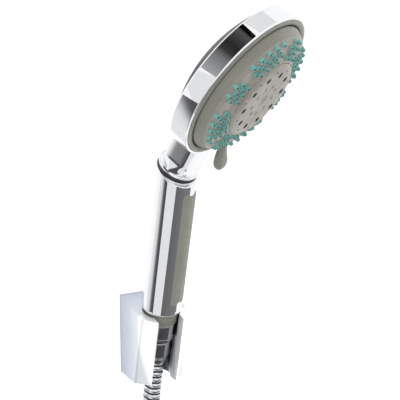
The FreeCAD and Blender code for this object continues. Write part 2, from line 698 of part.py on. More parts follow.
# ---- hose run and coil --------------------------------------------------------------------
COIL_CENTRE = V(COIL_RADIUS, 0, COIL_CENTRE_HEIGHT)
COIL_FRONT = COIL_BACK - COIL_PITCH * COIL_TURNS
TAIL_TOP = V(0, COIL_FRONT, COIL_CENTRE_HEIGHT)
HOSE_FIRST = SOCKET_FOOT + SOCKET_AXIS * HOSE_START

# The hose follows the socket's axis out of the bracket, eases upright beside the wall and
# runs down into the coil.
HOSE_ROUTE = [
    HOSE_FIRST,
    SOCKET_FOOT + SOCKET_AXIS * -85.0,
    V(0, -9.8, -78.0),
    V(0, -10.2, -114.0),
    V(0, COIL_BACK, COIL_CENTRE_HEIGHT),
]


def route_radii(points):
    """Each corner's arc: 0.45 of the shorter run, over the tangent of half the turn."""
    radii = [0.0]
    for before, corner, after in zip(points, points[1:], points[2:]):
        turn = (corner - before).getAngle(after - corner)
        shorter = min((corner - before).Length, (after - corner).Length)
        radii.append(0.45 * shorter / math.tan(turn / 2))
    return radii + [0.0]


def hose_tube():
    radii = route_radii(HOSE_ROUTE)
    path = Part.Wire(rounded_edges(HOSE_ROUTE, radii, False))
    along = HOSE_ROUTE[1] - HOSE_ROUTE[0]
    section = Part.Wire(Part.makeCircle(HOSE_RADIUS, HOSE_ROUTE[0], along))
    solid = path.makePipeShell([section], True, False)
    expected = math.pi * HOSE_RADIUS ** 2 * path.Length
    print("hose radii", [round(r) for r in radii[1:-1]], "run", round(path.Length, 1),
          "volume / expected", round(solid.Volume / expected, 4))
    return solid


def coil_outline(grow):
    """Half section of the wound coil, (radius, height) about the coil's own axis."""
    inner, outer = COIL_RADIUS - HOSE_RADIUS - 0.4, COIL_RADIUS + HOSE_RADIUS + 0.4
    back, front = -COIL_BACK - HOSE_RADIUS - 0.3, -COIL_FRONT + HOSE_RADIUS + 0.3
    return inner - grow, outer + grow, back - grow, front + grow


def hose_coil():
    inner, outer, back, front = coil_outline(0)
    ring = turned([(inner, back), (outer, back), (outer, front), (inner, front)],
                  [HOSE_RADIUS - 0.5] * 4)
    return moved(turned_by(ring, X, 90), COIL_CENTRE)


def coil_tie():
    """A soft strap round the bundle at the top of the coil."""
    half = 4.5

    def frame(grow):
        inner, outer, back, front = coil_outline(grow)
        return box(COIL_RADIUS - half, COIL_RADIUS + half, -front, -back, inner, outer)

    strap = frame(1.5).cut(box(0, 200, *[-coil_outline(0.3)[3], -coil_outline(0.3)[2]],
                               coil_outline(0.3)[0], coil_outline(0.3)[1]))
    return moved(strap, V(0, 0, COIL_CENTRE_HEIGHT))


def hose_tail():
    return Part.makeCylinder(HOSE_RADIUS, TAIL_LENGTH, TAIL_TOP, -Z)


def at_tail(shape):
    """Carries a fitting drawn for the upper end onto the far end, pointing down."""
    far_end = TAIL_TOP - Z * TAIL_LENGTH
    return moved(turned_by(shape, X, 180), V(far_end.x, far_end.y, far_end.z + HOSE_START))


def hose_nut_end():
    """The plain supply nut: a knurled sleeve with an internal G 1/2 thread."""
    low, high = NUT_FOOT, -17.0
    nut = cylinder(12.3, low, high)
    flute = cylinder(0.7, low - 1, high - 2.5, 12.6, 0)
    nut = nut.cut(ring_of(flute, 18))
    nut = nut.cut(cylinder(NIPPLE_RADIUS + 0.1, low + 1.6, 0))
    nut = nut.cut(cylinder(NIPPLE_RADIUS + 0.4, low + 1.6, NIPPLE_FOOT))
    return single(nut.cut(cylinder(8.3, -40, 0)))


def parts():
    handset = {
        "handle_shell": handle_shell(), "grip_insert": grip_insert(),
        "neck_collar": neck_collar(), "tail_collar": tail_collar(),
        "inlet_nipple": inlet_nipple(), "flow_regulator": flow_regulator(),
        "water_tube": water_tube(), "hose_nut_top": hose_nut_top(),
        "inlet_washer": hose_washer(NIPPLE_FOOT),
    }
    head = {
        "head_shell": head_shell(), "head_band": head_band(), "bezel_ring": bezel_ring(),
        "distributor": distributor(), "distributor_screws": distributor_screws(),
        "head_o_ring": head_o_ring(), "port_seals": port_seals(), "detent_pin": detent_pin(),
        "detent_spring": detent_spring(), "centre_screw": centre_screw(),
        "spray_plate": spray_plate(), "nozzle_mat": nozzle_mat(),
        "massage_insert": massage_insert(), "centre_cap": centre_cap(),
        "channel_plate": channel_plate(), "pivot_washer": pivot_washer(),
        "turbine": turbine(), "mode_lever": mode_lever(),
    }
    socket = {
        "hose_nipple_top": hose_nipple(NIPPLE_TOP), "hose_ferrule_top": hose_ferrule(FERRULE_TOP),
    }
    far_end = {
        "hose_nipple_end": hose_nipple(NIPPLE_TOP), "hose_ferrule_end": hose_ferrule(FERRULE_TOP),
        "hose_nut_end": hose_nut_end(), "supply_washer": hose_washer(NIPPLE_FOOT),
    }
    row = {
        "bracket_body": bracket_body(), "wall_plate": wall_plate(), "grub_screw": grub_screw(),
        "socket_liner": socket_liner(), "hose_tube": hose_tube(), "hose_coil": hose_coil(),
        "coil_tie": coil_tie(), "hose_tail": hose_tail(),
    }
    row.update({name: from_handset(shape) for name, shape in handset.items()})
    row.update({name: from_head(shape) for name, shape in head.items()})
    row.update({name: from_socket(shape) for name, shape in socket.items()})
    row.update({name: at_tail(shape) for name, shape in far_end.items()})
    return row


os.makedirs("parts", exist_ok=True)
for name, shape in parts().items():
    shape.exportStep("parts/" + name + ".step")
    size = shape.BoundBox
    print(f"{name:20s} solids {len(shape.Solids)} volume {shape.Volume / 1000:9.3f} cm3"
          f"  z {size.ZMin:7.1f} {size.ZMax:7.1f}  valid {shape.isValid()}")
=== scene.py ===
import json
import math

import bmesh
import bpy
import numpy as np
from mathutils import Matrix, Vector


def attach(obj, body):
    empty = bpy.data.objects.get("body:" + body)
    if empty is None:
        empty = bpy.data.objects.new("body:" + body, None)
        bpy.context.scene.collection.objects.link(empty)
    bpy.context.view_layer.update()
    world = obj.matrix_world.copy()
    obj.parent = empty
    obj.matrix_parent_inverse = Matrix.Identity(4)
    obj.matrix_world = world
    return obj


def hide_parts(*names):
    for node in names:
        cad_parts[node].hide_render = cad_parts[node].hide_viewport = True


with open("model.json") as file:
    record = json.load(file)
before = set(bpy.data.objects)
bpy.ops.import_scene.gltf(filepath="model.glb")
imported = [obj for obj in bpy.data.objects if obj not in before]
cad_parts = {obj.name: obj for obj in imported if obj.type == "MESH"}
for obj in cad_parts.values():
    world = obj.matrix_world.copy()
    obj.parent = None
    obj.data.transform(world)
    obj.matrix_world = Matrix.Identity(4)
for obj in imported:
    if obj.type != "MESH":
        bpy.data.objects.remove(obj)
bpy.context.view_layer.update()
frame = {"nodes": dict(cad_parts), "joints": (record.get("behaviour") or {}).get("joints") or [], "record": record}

MM = 0.001
SCENE = bpy.context.scene


# ---- frames --------------------------------------------------------------------------------
def axes(x, y, z, origin):
    """Takes millimetres in a working frame to metres in the row frame."""
    matrix = Matrix((x, y, z)).transposed().to_4x4() @ Matrix.Scale(MM, 4)
    matrix.translation = origin
    return matrix


JOINTS = {joint["name"]: joint for joint in frame["joints"]}
FOOT = Vector(JOINTS["swivel"]["pos_m"])
HEAD = Vector(JOINTS["mode_select"]["pos_m"])
TAIL = Vector(JOINTS["far_nut_spin"]["pos_m"])
UP = Vector(JOINTS["swivel"]["axis"]).normalized()
SPRAY = Vector(JOINTS["mode_select"]["axis"]).normalized()
ALONG = (UP - SPRAY * UP.dot(SPRAY)).normalized()          # up the neck, 12 o'clock of the head
FRONT = (SPRAY - UP * SPRAY.dot(UP)).normalized()          # the handset's front
NECK_OFFSET = 17.0
FROM_RIM = HEAD - FOOT - SPRAY * NECK_OFFSET * MM
BEND_HEIGHT = FROM_RIM.dot(SPRAY) / UP.dot(SPRAY) / MM
BEND = FOOT + UP * BEND_HEIGHT * MM
NECK_LENGTH = (HEAD - SPRAY * NECK_OFFSET * MM - BEND).dot(ALONG) / MM
NECK_LEAN = math.acos(UP.dot(ALONG))
SLEEVE_END = -52.0               # where the hose enters its end sleeves, in the sleeves' own frames

IN_SOCKET = axes(Vector((1, 0, 0)), UP.cross(Vector((1, 0, 0))), UP, FOOT)
IN_HANDSET = axes((-FRONT).cross(UP), -FRONT, UP, FOOT)
IN_HEAD = axes(ALONG.cross(SPRAY), ALONG, SPRAY, HEAD)
IN_NECK = axes((-SPRAY).cross(ALONG), -SPRAY, ALONG, BEND)
IN_TAIL = axes(Vector((1, 0, 0)), Vector((0, -1, 0)), Vector((0, 0, -1)),
               TAIL + Vector((0, 0, SLEEVE_END * MM)))


# ---- camera --------------------------------------------------------------------------------
def direction(azimuth, elevation):
    """The way towards an azimuth, counted from the front to the right, and an elevation."""
    a, e = math.radians(azimuth), math.radians(elevation)
    return Vector((math.sin(a) * math.cos(e), -math.cos(a) * math.cos(e), math.sin(e)))


VIEW_FROM = direction(-26.2, 16.2)
VIEW_DISTANCE = 1.137
LOOK_AT = Vector((0.049, 0.003, 0.095))

camera = bpy.data.objects.new("camera", bpy.data.cameras.new("camera"))
SCENE.collection.objects.link(camera)
camera.data.lens = 135.0
camera.data.sensor_width = 36.0
camera.location = LOOK_AT + VIEW_FROM * VIEW_DISTANCE
camera.rotation_mode = "QUATERNION"
camera.rotation_quaternion = (-VIEW_FROM).to_track_quat("-Z", "Y")
camera.data.clip_start, camera.data.clip_end = 0.05, 50.0
SCENE.camera = camera


# ---- materials -----------------------------------------------------------------------------
PAINTED_SHADE_START = -0.046              # y, in metres, where the bracket's painted shade starts; it ends at the wall


def mixed(nodes, links, blend, factor, a, b):
    """A colour mix; the factor and both colours are each a socket or a value."""
    mix = nodes.new("ShaderNodeMix")
    mix.data_type = "RGBA"
    mix.blend_type = blend
    for socket, given in (("Factor", factor), ("A", a), ("B", b)):
        if isinstance(given, bpy.types.NodeSocket):
            links.new(given, mix.inputs[socket])
        else:
            mix.inputs[socket].default_value = given
    return mix.outputs["Result"]


def painted_shade_ramp(nodes, links, place, stops):
    """A colour that darkens and turns bluer from the bracket's front to the wall, a painted shade and reflection;
    the stops are (share, colour).
    """
    split = nodes.new("ShaderNodeSeparateXYZ")
    links.new(place, split.inputs["Vector"])
    depth = nodes.new("ShaderNodeMapRange")
    depth.inputs["From Min"].default_value = PAINTED_SHADE_START
    depth.inputs["From Max"].default_value = 0.0
    links.new(split.outputs["Y"], depth.inputs["Value"])
    ramp = nodes.new("ShaderNodeValToRGB")
    while len(ramp.color_ramp.elements) < len(stops):
        ramp.color_ramp.elements.new(1.0)
    for element, (share, tone) in zip(ramp.color_ramp.elements, stops):
        element.position = share
        element.color = (*tone, 1.0)
    links.new(depth.outputs["Result"], ramp.inputs["Fac"])
    return ramp.outputs["Color"]


def material(name, colour, roughness, metallic=0.0, tint=0.06, tint_scale=60.0,
             rough_range=0.25, rough_scale=180.0, grain=0.1, grain_scale=2500.0, grain_depth=0.00005,
             wave=0.0, specular=0.5, painted_shade_stops=()):
    """A procedural finish: mottled colour, uneven roughness and a fine grain in its surface; given stops, also a
    painted shade that darkens it along y towards the wall.
    """
    made = bpy.data.materials.new(name)
    made.use_nodes = True
    nodes, links = made.node_tree.nodes, made.node_tree.links
    shader = nodes["Principled BSDF"]
    shader.inputs["Metallic"].default_value = metallic
    shader.inputs["Specular IOR Level"].default_value = specular
    place = nodes.new("ShaderNodeTexCoord").outputs["Object"]

    def noise(scale, detail=3.0):
        node = nodes.new("ShaderNodeTexNoise")
        node.inputs["Scale"].default_value = scale
        node.inputs["Detail"].default_value = detail
        links.new(place, node.inputs["Vector"])
        return node.outputs["Fac"]

    def spread(value, low, high):
        """Stretches the middle of a noise over a range."""
        node = nodes.new("ShaderNodeMapRange")
        for socket, number in (("From Min", 0.3), ("From Max", 0.7), ("To Min", low), ("To Max", high)):
            node.inputs[socket].default_value = number
        links.new(value, node.inputs["Value"])
        return node.outputs["Result"]

    def bump(height, strength, distance):
        node = nodes.new("ShaderNodeBump")
        node.inputs["Strength"].default_value = strength
        node.inputs["Distance"].default_value = distance
        links.new(height, node.inputs["Height"])
        return node

    darker = [c * (1 - tint) for c in colour] + [1.0]
    lighter = [min(1.0, c * (1 + tint)) for c in colour] + [1.0]
    mottle = mixed(nodes, links, "MIX", spread(noise(tint_scale), 0.0, 1.0), darker, lighter)
    if painted_shade_stops:
        # painted shade and reflection: darker and bluer towards the wall
        mottle = mixed(nodes, links, "MULTIPLY", 1.0, mottle, painted_shade_ramp(nodes, links, place, painted_shade_stops))
    links.new(mottle, shader.inputs["Base Color"])
    links.new(spread(noise(rough_scale), roughness * (1 - rough_range), roughness * (1 + rough_range)),
              shader.inputs["Roughness"])
    fine = bump(noise(grain_scale, 2.0), grain, grain_depth)
    if wave:
        swell = bump(noise(40.0, 1.0), wave, 0.0004)
        links.new(swell.outputs["Normal"], fine.inputs["Normal"])
    links.new(fine.outputs["Normal"], shader.inputs["Normal"])
    return made


CHROME = material("chrome", (0.80, 0.81, 0.83), 0.05, 1.0, tint=0.015, rough_range=0.5,
                  grain=0.04, grain_scale=900.0, wave=0.04)
# Its colour darkens to a blue grey towards the wall: painted shade and reflection.
BRACKET_CHROME = material("bracket_chrome", (0.97, 0.97, 0.97), 0.34, 0.55, tint=0.02, rough_range=0.15,
                          grain=0.05, grain_scale=1500.0,
                          painted_shade_stops=[(0.0, (0.97, 0.99, 1.0)), (0.23, (0.96, 0.98, 1.0)),
                                       (0.28, (0.70, 0.73, 0.77)), (0.6, (0.53, 0.57, 0.64)),
                                       (0.9, (0.43, 0.46, 0.54)), (1.0, (0.33, 0.37, 0.46))])
NUT_CHROME = material("nut_chrome", (0.30, 0.30, 0.32), 0.14, 1.0, tint=0.05, rough_range=0.4,
                      grain=0.08, grain_scale=1200.0)
HOSE_CHROME = material("hose_chrome", (0.68, 0.69, 0.71), 0.10, 1.0, tint=0.04, rough_range=0.4,
                       grain=0.08, grain_scale=1500.0)
GREY_PLASTIC = material("grey_plastic", (0.158, 0.158, 0.134), 0.42, tint=0.04, grain=0.25,
                        grain_scale=3500.0)
INSERT_PLASTIC = material("insert_plastic", (0.205, 0.188, 0.168), 0.36, tint=0.04, grain=0.2,
                          grain_scale=3500.0)
GRIP_RUBBER = material("grip_rubber", (0.165, 0.165, 0.14), 0.58, tint=0.05, grain=0.4,
                       grain_scale=2800.0, grain_depth=0.00008)
TEAL_RUBBER = material("teal_rubber", (0.105, 0.285, 0.255), 0.40, tint=0.10, tint_scale=500.0, grain=0.2)
# Besides real black rubber, this material paints shade into the hose's groove, the gap round the face and the
# nozzles' holes.
BLACK_RUBBER_AND_SHADE = material("black_rubber", (0.012, 0.012, 0.013), 0.5, tint=0.2, grain=0.3)
WHITE_PLASTIC = material("white_plastic", (0.62, 0.62, 0.60), 0.45, tint=0.03, grain=0.2)
# Besides real dark plastic, this material paints shade and dark reflection into the bracket's bore, the collar's
# waist and the jets' throats.
DARK_PLASTIC_AND_SHADE = material("dark_plastic", (0.018, 0.018, 0.022), 0.28, tint=0.15, grain=0.2)
STEEL = material("steel", (0.45, 0.45, 0.46), 0.34, 1.0, tint=0.06, grain=0.3, grain_scale=1200.0)
BRASS = material("brass", (0.55, 0.40, 0.17), 0.28, 1.0, tint=0.08, grain=0.2, grain_scale=1500.0)
STRAP = material("strap", (0.03, 0.03, 0.032), 0.7, tint=0.3, tint_scale=900.0, grain=0.6,
                 grain_scale=1800.0, grain_depth=0.0002)

FINISHES = {
    "chrome": CHROME, "chrome_dark": NUT_CHROME, "grey_plastic": GREY_PLASTIC,
    "grip_rubber": GRIP_RUBBER, "teal_rubber": TEAL_RUBBER, "black_rubber": BLACK_RUBBER_AND_SHADE,
    "white_plastic": WHITE_PLASTIC, "dark_plastic": DARK_PLASTIC_AND_SHADE, "steel": STEEL, "brass": BRASS,
    "hose_metal": HOSE_CHROME, "coil_core": HOSE_CHROME, "tie_strap": STRAP,
}
for part in frame["record"]["subparts"]:
    slots = frame["nodes"][part["node"]].data.materials
    slots.clear()
    slots.append(FINISHES[part["material_slot"]])


# ---- mesh helpers --------------------------------------------------------------------------
def on_arc(first, last, share):
    """The vector a share of the way round the arc from one vector to another of equal length."""
    sweep = first.angle(last)
    return (first * math.sin((1 - share) * sweep) + last * math.sin(share * sweep)) / math.sin(sweep)


def circle(count):
    """The cosine and sine of evenly spaced angles round a full turn."""
    angles = [2 * math.pi * i / count for i in range(count)]
    return [(math.cos(a), math.sin(a)) for a in angles]


def rounded(points, radii, steps=6):
    """A polyline whose corners are replaced by arcs; a radius of 0 keeps the corner."""
    line = [Vector(p) for p in points]
    result = []
    for i, corner in enumerate(line):
        if radii[i] == 0 or i in (0, len(line) - 1):
            result.append(corner)
            continue
        back, ahead = (line[i - 1] - corner).normalized(), (line[i + 1] - corner).normalized()
        half = back.angle(ahead) / 2
        reach = radii[i] / math.tan(half)
        centre = corner + (back + ahead).normalized() * (radii[i] / math.sin(half))
        first, last = corner + back * reach - centre, corner + ahead * reach - centre
        result += [centre + on_arc(first, last, k / steps) for k in range(steps + 1)]
    return [tuple(p) for p in result]


def bridge(bm, ring_a, ring_b):
    """Faces between two closed rings; a ring of one vertex is a pole."""
    count = max(len(ring_a), len(ring_b))
    for i in range(count):
        corners = []
        for vertex in (ring_a[i % len(ring_a)], ring_a[(i + 1) % len(ring_a)],
                       ring_b[(i + 1) % len(ring_b)], ring_b[i % len(ring_b)]):
            if vertex not in corners:
                corners.append(vertex)
        if len(corners) > 2:
            bm.faces.new(corners)


def skin(rings, closed):
    """A mesh from rings of points, each a list of (x, y, z)."""
    bm = bmesh.new()
    made = [[bm.verts.new(p) for p in ring] for ring in rings]
    for ring_a, ring_b in zip(made, made[1:] + (made[:1] if closed else [])):
        bridge(bm, ring_a, ring_b)
    if not closed:
        for ring in (made[0], made[-1]):
            if len(ring) > 1:
                bm.faces.new(ring)
    return bm


def lathe(profile, segments=160):
    """Turns a closed outline of (radius, height) points about Z."""
    return skin([[(radius * c, radius * s, height) for c, s in circle(segments)]
                 for radius, height in profile], True)


def turned(bm, profile, origin, across, onward, up, segments):
    """Adds a small shape turned about its own axis; gives the faces of each stretch of its profile."""
    rings = []
    for radius, height in profile:
        corners = circle(segments if radius > 0 else 1)
        rings.append([bm.verts.new(origin + up * height + (across * c + onward * s) * radius)
                      for c, s in corners])
    stretches = []
    for ring_a, ring_b in zip(rings, rings[1:]):
        already = len(bm.faces)
        bridge(bm, ring_a, ring_b)
        bm.faces.ensure_lookup_table()
        stretches.append(bm.faces[already:])
    return stretches


def piece(name, bm, matrix, body, finish, nodes=(), sharp=32.0, bevel=0.0):
    """Turns a bmesh into a named object that rides on a body and stands for its CAD nodes."""
    bmesh.ops.recalc_face_normals(bm, faces=bm.faces[:])
    mesh = bpy.data.meshes.new(name)
    bm.to_mesh(mesh)
    bm.free()
    mesh.transform(matrix)
    mesh.polygons.foreach_set("use_smooth", [True] * len(mesh.polygons))
    mesh.set_sharp_from_angle(angle=math.radians(sharp))
    obj = bpy.data.objects.new(name, mesh)
    SCENE.collection.objects.link(obj)
    for one in finish if isinstance(finish, (list, tuple)) else [finish]:
        mesh.materials.append(one)
    if bevel:
        edge = obj.modifiers.new("edge", "BEVEL")
        edge.width = bevel * MM
        edge.segments = 3
        edge.limit_method = "ANGLE"
        edge.angle_limit = math.radians(sharp)
        edge.use_clamp_overlap = True
        edge.harden_normals = True
    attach(obj, body)
    if nodes:
        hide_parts(*nodes)
    return obj


def from_cad(node):
    """The CAD node's own shape as a bmesh, with its flat faces joined up again."""
    bm = bmesh.new()
    bm.from_mesh(frame["nodes"][node].data)
    bmesh.ops.remove_doubles(bm, verts=bm.verts[:], dist=0.002 * MM)
    bmesh.ops.dissolve_limit(bm, angle_limit=math.radians(0.5), verts=bm.verts[:], edges=bm.edges[:])
    return bm


UNCHANGED = Matrix.Identity(4)


# ---- hose ----------------------------------------------------------------------------------
HOSE_RADIUS = 7.0 * MM
COIL_CENTRE = Vector((0.070, -0.012, -0.158))
COIL_RADIUS = 0.0704             # of the control points; the spline runs just inside them
COIL_TURNS = 3
TURN_POINTS = 24
COIL_DEPTH = -0.0435             # from the back turn to the front one
route = [Vector((0.0, -0.02118, -0.01564)), Vector((0.0, -0.01292, -0.04759)),
         Vector((0.0, -0.0098, -0.078)), Vector((0.0, -0.0102, -0.114)), Vector((0.0, -0.0113, -0.146))]
for step in range(1, COIL_TURNS * TURN_POINTS):
    turn = step / TURN_POINTS
    angle = math.pi + 2 * math.pi * turn
    route.append(COIL_CENTRE + Vector((COIL_RADIUS * math.cos(angle), COIL_DEPTH * turn / COIL_TURNS,
                                       COIL_RADIUS * math.sin(angle))))
route += [Vector((0.0, -0.0552, -0.170)), Vector((0.0, -0.0555, -0.188)), Vector((0.0, -0.0555, -0.206))]


def smooth_line(points):
    """A spline through the run of the points, as an array of places along it."""
    line = bpy.data.curves.new("hose_line", "CURVE")
    line.dimensions = "3D"
    line.resolution_u = 16
    spline = line.splines.new("NURBS")
    spline.points.add(len(points) - 1)
    for point, place in zip(spline.points, points):
        point.co = (*place, 1.0)
    spline.order_u = 3
    spline.use_endpoint_u = True
    obj = bpy.data.objects.new("hose_line", line)
    SCENE.collection.objects.link(obj)
    bpy.context.view_layer.update()
    mesh = bpy.data.meshes.new_from_object(obj.evaluated_get(bpy.context.evaluated_depsgraph_get()))
    places = np.array([vertex.co[:] for vertex in mesh.vertices])
    bpy.data.objects.remove(obj)
    bpy.data.meshes.remove(mesh)
    return places


RING_PITCH = 5.2 * MM
RING_SAMPLES = 13                # stations along each ring
RING_SPAN = 0.96                 # of the pitch; the rest is the bottom of the groove
HOSE_SHADE_FROM = 0.82               # of the half pitch; from there on the surface has the dark material, a painted shadow in the groove
GROOVE_SHARE, RING_SHARE = 0.75, 0.245     # of the hose's radius: the groove's own, and the ring's rise

centreline = smooth_line(route)
travelled = np.concatenate([[0.0], np.cumsum(np.linalg.norm(np.diff(centreline, axis=0), axis=1))])
HOSE_LENGTH = float(travelled[-1])
stations = np.linspace(0.0, HOSE_LENGTH, int(HOSE_LENGTH / RING_PITCH * RING_SAMPLES))
spots = np.stack([np.interp(stations, travelled, centreline[:, k]) for k in range(3)], axis=1)


def spiral_hose():
    """The hose's skin, with one ridge wound round it, and its groove painted black as painted shadow."""
    tangents = np.gradient(spots, axis=0)
    tangents /= np.linalg.norm(tangents, axis=1)[:, None]
    side = np.cross(tangents[0], [0.0, 1.0, 0.0])
    around = circle(32)
    rings, groove_painted_shade = [], []
    for spot, tangent, station in zip(spots, tangents, stations):
        side = side - tangent * side.dot(tangent)
        side /= np.linalg.norm(side)
        other = np.cross(tangent, side)
        ring = []
        for i, (c, s) in enumerate(around):
            across = (station / RING_PITCH + i / len(around)) % 1.0 * 2 - 1
            rise = math.sqrt(max(0.0, 1 - (across / RING_SPAN) ** 2))
            radius = HOSE_RADIUS * (GROOVE_SHARE + RING_SHARE * rise)
            ring.append(spot + (side * c + other * s) * radius)
            groove_painted_shade.append(abs(across) > HOSE_SHADE_FROM)
        rings.append(ring)
    bm = skin(rings, False)
    for face, groove in zip(bm.faces, groove_painted_shade):
        face.material_index = int(groove)
    return bm


# The black second material in the hose's groove is painted shadow.
hose = piece("hose", spiral_hose(), UNCHANGED, "hose", [HOSE_CHROME, BLACK_RUBBER_AND_SHADE],
             ["hose_tube", "hose_coil", "hose_tail"], sharp=75.0)


# ---- hose fittings -------------------------------------------------------------------------
def ferrule():
    """The sleeve on the end of the hose."""
    outline = rounded([(5.2, -33.0), (9.4, -33.0), (9.9, -33.8), (9.9, -45.6), (8.3, -49.0),
                       (8.3, -51.6), (7.9, SLEEVE_END), (5.2, SLEEVE_END)],
                      [0, 0.3, 0.4, 1.2, 0.6, 0.2, 0.2, 0], 4)
    return lathe(outline, 96)


NUT_TOP, NUT_FOOT, NUT_GROOVE = -16.4, -31.0, -28.4
NUT_RADIUS_TOP, NUT_RADIUS_FOOT = 11.75, 11.5
NUT_TAPER = (NUT_RADIUS_TOP - NUT_RADIUS_FOOT) / (NUT_TOP - NUT_FOOT)
NUT_BORE, NUT_NECK_BORE = 10.6, 8.4


def top_nut():
    """The coupling nut, a little wider at its top, with one turned groove near its foot."""
    at_groove = NUT_RADIUS_FOOT + NUT_TAPER * (NUT_GROOVE - NUT_FOOT)
    outline = [(NUT_NECK_BORE, NUT_FOOT),
               (NUT_RADIUS_FOOT - 0.6, NUT_FOOT), (NUT_RADIUS_FOOT, NUT_FOOT + 0.6),
               (at_groove, NUT_GROOVE - 0.3), (at_groove - 0.3, NUT_GROOVE), (at_groove, NUT_GROOVE + 0.3),
               (NUT_RADIUS_TOP, NUT_TOP - 0.7), (NUT_RADIUS_TOP - 0.7, NUT_TOP), (NUT_BORE, NUT_TOP),
               (NUT_BORE, NUT_FOOT + 1.6), (NUT_NECK_BORE, NUT_FOOT + 1.6)]
    return lathe(rounded(outline, [0, 0.25, 0.25, 0, 0.1, 0, 0.3, 0.3, 0, 0, 0], 3), 120)


piece("ferrule_top", ferrule(), IN_SOCKET, "hose", NUT_CHROME, ["hose_ferrule_top"])
piece("nut_top", top_nut(), IN_SOCKET, "handset", NUT_CHROME, ["hose_nut_top"])
piece("joint_ring", lathe([(5.2, -33.3), (8.9, -33.3), (8.9, -30.2), (5.2, -30.2)], 64), IN_SOCKET,
      "handset", BLACK_RUBBER_AND_SHADE, [])
ferrule_end = piece("ferrule_end", ferrule(), IN_TAIL, "hose", NUT_CHROME, ["hose_ferrule_end"])
nut_end = piece("nut_end", from_cad("hose_nut_end"), UNCHANGED, "far_nut", NUT_CHROME, ["hose_nut_end"],
                bevel=0.25)
tie = piece("coil_strap", from_cad("coil_tie"), UNCHANGED, "hose", STRAP, ["coil_tie"],
            bevel=0.5)


# ---- bracket -------------------------------------------------------------------------------
BORE_WITHIN = 14.4               # every corner of the bore's faces is nearer the axis than this


def from_axis(place):
    """The way from the socket's axis out to a point."""
    offset = place - FOOT
    return offset - UP * offset.dot(UP)


def bracket_cover():
    """The bracket, with the back of its bore in a second, dark material: painted shade and dark reflection inside
    the bore.
    """
    bm = from_cad("bracket_body")
    for face in bm.faces:
        in_bore = all(from_axis(vertex.co).length < BORE_WITHIN * MM for vertex in face.verts)
        if in_bore and from_axis(face.calc_center_median()).y > 0:
            face.material_index = 1
    return bm


# The bore's dark back is painted shade and reflection.
piece("bracket_cover", bracket_cover(), UNCHANGED, "bracket", [BRACKET_CHROME, DARK_PLASTIC_AND_SHADE],
      ["bracket_body"], bevel=0.7)


# ---- handle --------------------------------------------------------------------------------
HANDLE_RADIUS, HANDLE_BORE = 14.7, 12.2
HANDLE_FOOT = -5.5
COLLAR_LOW, COLLAR_HIGH = -4.0, 2.6
GRIP_HALF_WIDTH, GRIP_LOW, GRIP_HIGH, GRIP_CORNER = 7.6, 3.0, 96.0, 3.0
GRIP_RADIUS = 14.95
# Between the low and high heights the waist's outside is painted black: a painted dark reflection and shade.
WAIST_RADIUS, PAINTED_WAIST_LOW, PAINTED_WAIST_HIGH = 14.2, -2.45, 0.8


def handle_mesh():
    """A straight tube whose top is cut square to the leaning neck.

    Each ring has a radius, a level from the foot (0) to the cut (1), and a drop below the cut.
    """
    rings = []
    for radius, level, drop in (
            (HANDLE_BORE, 0, 0), (HANDLE_RADIUS - 0.6, 0, 0), (HANDLE_RADIUS - 0.18, 0.0015, 0),
            (HANDLE_RADIUS, 0.005, 0), (HANDLE_RADIUS, 0.01, 0), (HANDLE_RADIUS, 0.5, 0),
            (HANDLE_RADIUS, 1, 1.2), (HANDLE_RADIUS, 1, 0.5), (HANDLE_RADIUS - 0.12, 1, 0.15),
            (HANDLE_RADIUS - 0.5, 1, 0), (HANDLE_BORE, 1, 0)):
        ring = []
        for c, s in circle(160):
            x, y = radius * c, radius * s
            top = BEND_HEIGHT + (COLLAR_LOW - drop + y * math.sin(NECK_LEAN)) / math.cos(NECK_LEAN)
            ring.append((x, y, HANDLE_FOOT + (top - HANDLE_FOOT) * level))
        rings.append(ring)
    return skin(rings, True)


def grip_mesh():
    """A soft strip wrapped on the front of the handle, with rounded corners and rolled edges."""
    middle = (GRIP_LOW + GRIP_HIGH) / 2
    rolled_edge = [(0.0, 13.6), (0.0, 14.62), (0.12, 14.82), (0.4, 14.93)]
    flat = [(inset, GRIP_RADIUS) for inset in (0.9, 1.9, 3.2, 4.6, 5.8, 6.8, 7.4)]
    rings = []
    for inset, radius in rolled_edge + flat:
        half_width = GRIP_HALF_WIDTH - inset
        half_height = GRIP_HIGH - middle - inset
        corner = min(GRIP_CORNER, half_width)
        ring = []
        for quarter, (sx, sz) in enumerate(((1, 1), (-1, 1), (-1, -1), (1, -1))):
            for k in range(13):
                a = math.radians(90 * quarter + 7.5 * k)
                x = sx * (half_width - corner) + corner * math.cos(a)
                z = middle + sz * (half_height - corner) + corner * math.sin(a)
                ring.append((x, -math.sqrt(radius ** 2 - x ** 2), z))
        rings.append(ring)
    return skin(rings, False)


def collar_mesh():
    """The polished ring under the neck: two beads with a waist between them, the waist's outside painted black as
    a painted dark reflection and shade.
    """
    outline = rounded([(HANDLE_BORE, COLLAR_LOW), (14.9, COLLAR_LOW), (15.3, -3.4), (15.3, -2.6),
                       (WAIST_RADIUS, -2.2), (WAIST_RADIUS, 0.5), (15.0, 1.0), (15.0, 2.0),
                       (14.4, COLLAR_HIGH), (HANDLE_BORE, COLLAR_HIGH)],
                      [0, 0.25, 0.5, 0.6, 0.3, 0.3, 0.5, 0.6, 0.3, 0], 4)
    bm = lathe(outline)
    for face in bm.faces:
        middle = face.calc_center_median()
        outside = WAIST_RADIUS - 0.2 < math.hypot(middle.x, middle.y) < WAIST_RADIUS + 0.55
        # painted dark reflection and shade on the waist
        if outside and PAINTED_WAIST_LOW < middle.z < PAINTED_WAIST_HIGH:
            face.material_index = 1
    return bm


